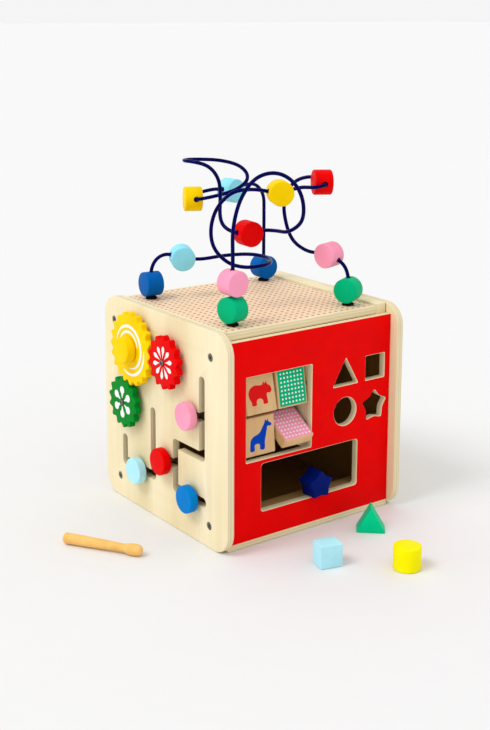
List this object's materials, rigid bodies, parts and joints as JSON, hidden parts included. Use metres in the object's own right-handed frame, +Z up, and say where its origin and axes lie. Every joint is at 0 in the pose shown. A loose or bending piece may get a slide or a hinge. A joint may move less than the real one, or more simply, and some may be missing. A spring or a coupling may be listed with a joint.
{
  "type": "shape sorter activity cube",
  "caption": "Wooden activity cube with a shape sorter front, turning tiles, meshed gears, slot sliders and a bead maze on its lid.",
  "frame": {"origin": "on the floor under the middle of the cube", "axes": "+Z up, -Y out of the red front panel, -X out of the gear and slider panel"},
  "size_m": [0.382, 0.4042, 0.4177],
  "materials": {
    "birch_ply": "clear matt lacquer",
    "red_paint_panel": "satin paint",
    "red_paint": "satin paint",
    "yellow_paint": "satin paint",
    "green_paint": "satin paint",
    "mint_green_paint": "satin paint",
    "pale_blue_paint": "satin paint",
    "pink_paint": "satin paint",
    "blue_paint": "satin paint",
    "deep_blue_paint": "satin paint",
    "dark_stained_wood": "dull stain",
    "turned_hardwood": "clear satin lacquer",
    "steel": "zinc-plated",
    "wire_coating": "gloss coating on steel wire",
    "black_rubber": "matt"
  },
  "bodies": {
    "casing": {"back_panel": "birch_ply", "base_panel": "birch_ply", "catch_ledge": "birch_ply", "front_panel": "red_paint_panel", "green_gear_screw": "steel", "left_panel": "birch_ply", "lid_rail_left": "birch_ply", "lid_rail_right": "birch_ply", "red_gear_screw": "steel", "right_panel": "birch_ply", "tile_cheek_left": "birch_ply", "tile_cheek_right": "birch_ply", "tile_rod_lower": "steel", "tile_rod_upper": "steel", "xylophone_bar_1": "red_paint", "xylophone_bar_2": "yellow_paint", "xylophone_bar_3": "green_paint", "xylophone_bar_4": "blue_paint", "xylophone_bar_5": "pink_paint", "yellow_gear_axle": "steel"},
    "lid": {"lid_board": "birch_ply", "wire_front_to_back": "wire_coating", "wire_left_to_right": "wire_coating", "foot_cap_back": "black_rubber", "foot_cap_front": "black_rubber", "foot_cap_left": "black_rubber", "foot_cap_right": "black_rubber"},
    "yellow_gear_body": {"yellow_gear": "yellow_paint", "yellow_gear_knob": "yellow_paint"},
    "red_gear_body": {"red_gear": "red_paint"},
    "green_gear_body": {"green_gear": "green_paint"},
    "slider_pink": {"slider_knob_pink": "pink_paint", "slider_peg_pink": "dark_stained_wood"},
    "slider_red": {"slider_knob_red": "red_paint", "slider_peg_red": "dark_stained_wood"},
    "slider_pale": {"slider_knob_pale": "pale_blue_paint", "slider_peg_pale": "dark_stained_wood"},
    "slider_blue": {"slider_knob_blue": "blue_paint", "slider_peg_blue": "dark_stained_wood"},
    "tile_hippo_body": {"tile_hippo": "birch_ply"},
    "tile_green_dots_body": {"tile_green_dots": "birch_ply"},
    "tile_giraffe_body": {"tile_giraffe": "birch_ply"},
    "tile_pink_dots_body": {"tile_pink_dots": "birch_ply"},
    "bead_green_front_body": {"bead_green_front": "mint_green_paint"},
    "bead_green_right_body": {"bead_green_right": "mint_green_paint"},
    "bead_blue_left_body": {"bead_blue_left": "deep_blue_paint"},
    "bead_pink_front_body": {"bead_pink_front": "pink_paint"},
    "bead_navy_back_body": {"bead_navy_back": "deep_blue_paint"},
    "bead_pale_left_body": {"bead_pale_left": "pale_blue_paint"},
    "bead_red_middle_body": {"bead_red_middle": "red_paint"},
    "bead_yellow_left_body": {"bead_yellow_left": "yellow_paint"},
    "bead_blue_top_body": {"bead_blue_top": "pale_blue_paint"},
    "bead_yellow_top_body": {"bead_yellow_top": "yellow_paint"},
    "bead_red_right_body": {"bead_red_right": "red_paint"},
    "bead_pink_right_body": {"bead_pink_right": "pink_paint"},
    "block_square_body": {"block_square": "pale_blue_paint"},
    "block_triangle_body": {"block_triangle": "mint_green_paint"},
    "block_round_body": {"block_round": "yellow_paint"},
    "beater_body": {"beater": "turned_hardwood"},
    "block_star_body": {"block_star": "deep_blue_paint"}
  },
  "joints": [
    {"name": "lid_lift", "type": "slide", "parent": "casing", "child": "lid", "axis": [0, 0, 1], "range_m": [0, 0.08]},
    {"name": "yellow_gear_turn", "type": "hinge", "parent": "casing", "child": "yellow_gear_body", "pos_m": [-0.127, 0.0515, 0.1985], "axis": [-1, 0, 0], "continuous": true},
    {"name": "red_gear_turn", "type": "hinge", "parent": "casing", "child": "red_gear_body", "pos_m": [-0.127, -0.02, 0.1985], "axis": [-1, 0, 0], "continuous": true},
    {"name": "green_gear_turn", "type": "hinge", "parent": "casing", "child": "green_gear_body", "pos_m": [-0.127, 0.0694, 0.12928], "axis": [-1, 0, 0], "continuous": true},
    {"name": "slider_pink_run", "type": "slide", "parent": "casing", "child": "slider_pink", "axis": [0, -1, 0], "range_m": [0, 0.0185]},
    {"name": "slider_red_run", "type": "slide", "parent": "casing", "child": "slider_red", "axis": [0, -1, 0], "range_m": [0, 0.0185]},
    {"name": "slider_pale_run", "type": "slide", "parent": "casing", "child": "slider_pale", "axis": [0, -1, 0], "range_m": [-0.0385, 0.025]},
    {"name": "slider_blue_run", "type": "slide", "parent": "casing", "child": "slider_blue", "axis": [0, -1, 0], "range_m": [-0.036, 0.0195]},
    {"name": "tile_hippo_turn", "type": "hinge", "parent": "casing", "child": "tile_hippo_body", "pos_m": [-0.06925, -0.1035, 0.17125], "axis": [1, 0, 0], "continuous": true},
    {"name": "tile_green_dots_turn", "type": "hinge", "parent": "casing", "child": "tile_green_dots_body", "pos_m": [-0.02475, -0.1035, 0.17125], "axis": [1, 0, 0], "continuous": true},
    {"name": "tile_giraffe_turn", "type": "hinge", "parent": "casing", "child": "tile_giraffe_body", "pos_m": [-0.06925, -0.1035, 0.12325], "axis": [1, 0, 0], "continuous": true},
    {"name": "tile_pink_dots_turn", "type": "hinge", "parent": "casing", "child": "tile_pink_dots_body", "pos_m": [-0.02475, -0.1035, 0.12325], "axis": [1, 0, 0], "continuous": true},
    {"name": "bead_green_front_spin", "type": "hinge", "parent": "lid", "child": "bead_green_front_body", "pos_m": [-0.0878, -0.0835, 0.2657], "axis": [0, 0, 1], "continuous": true},
    {"name": "bead_green_right_spin", "type": "hinge", "parent": "lid", "child": "bead_green_right_body", "pos_m": [0.0798, -0.0835, 0.2657], "axis": [0, 0, 1], "continuous": true},
    {"name": "bead_blue_left_spin", "type": "hinge", "parent": "lid", "child": "bead_blue_left_body", "pos_m": [-0.0908, 0.0795, 0.2657], "axis": [0, 0, 1], "continuous": true},
    {"name": "bead_pink_front_slide", "type": "slide", "parent": "lid", "child": "bead_pink_front_body", "axis": [0, 0, 1], "range_m": [0, 0.045]},
    {"name": "bead_navy_back_slide", "type": "slide", "parent": "lid", "child": "bead_navy_back_body", "axis": [0, 0, 1], "range_m": [0, 0.045]},
    {"name": "bead_pale_left_slide", "type": "slide", "parent": "lid", "child": "bead_pale_left_body", "axis": [0.9038, -0.3778, -0.2011], "range_m": [-0.005, 0.005]},
    {"name": "bead_red_middle_slide", "type": "hinge", "parent": "lid", "child": "bead_red_middle_body", "pos_m": [-0.02613, -0.01187, 0.40678], "axis": [0.1047, 0.9411, -0.3215], "range_deg": [-1.5, 2]},
    {"name": "bead_yellow_left_slide", "type": "hinge", "parent": "lid", "child": "bead_yellow_left_body", "pos_m": [-0.01434, 0.04801, 0.38242], "axis": [0.4206, -0.1804, -0.8891], "range_deg": [-4.5, 4]},
    {"name": "bead_blue_top_slide", "type": "hinge", "parent": "lid", "child": "bead_blue_top_body", "pos_m": [0.02315, 0.08846, 0.44927], "axis": [0.1396, -0.9797, 0.144], "range_deg": [-5, 5]},
    {"name": "bead_yellow_top_slide", "type": "hinge", "parent": "lid", "child": "bead_yellow_top_body", "pos_m": [-0.00589, -0.06794, 0.42992], "axis": [-0.3579, -0.7988, -0.4836], "range_deg": [-7.5, 7.5]},
    {"name": "bead_red_right_slide", "type": "hinge", "parent": "lid", "child": "bead_red_right_body", "pos_m": [-0.04275, -0.016, 0.43271], "axis": [0.2748, -0.2302, 0.9335], "range_deg": [-0.5, 1]},
    {"name": "bead_pink_right_slide", "type": "hinge", "parent": "lid", "child": "bead_pink_right_body", "pos_m": [0.08648, -0.04542, 0.26001], "axis": [0.9323, 0.0908, 0.35], "range_deg": [-10, 9.5]},
    {"name": "block_square_lift", "type": "slide", "parent": "casing", "child": "block_square_body", "axis": [0, 0, 1], "range_m": [0, 0.06]},
    {"name": "block_triangle_lift", "type": "slide", "parent": "casing", "child": "block_triangle_body", "axis": [0, 0, 1], "range_m": [0, 0.06]},
    {"name": "block_round_lift", "type": "slide", "parent": "casing", "child": "block_round_body", "axis": [0, 0, 1], "range_m": [0, 0.06]},
    {"name": "beater_lift", "type": "slide", "parent": "casing", "child": "beater_body", "axis": [0, 0, 1], "range_m": [0, 0.06]},
    {"name": "block_star_pull", "type": "slide", "parent": "casing", "child": "block_star_body", "axis": [0, -1, 0], "range_m": [0, 0.06]}
  ],
  "couplings": [
    {"joint": "red_gear_turn", "follows": "yellow_gear_turn", "ratio": -1.4286},
    {"joint": "green_gear_turn", "follows": "yellow_gear_turn", "ratio": -1.4286}
  ]
}
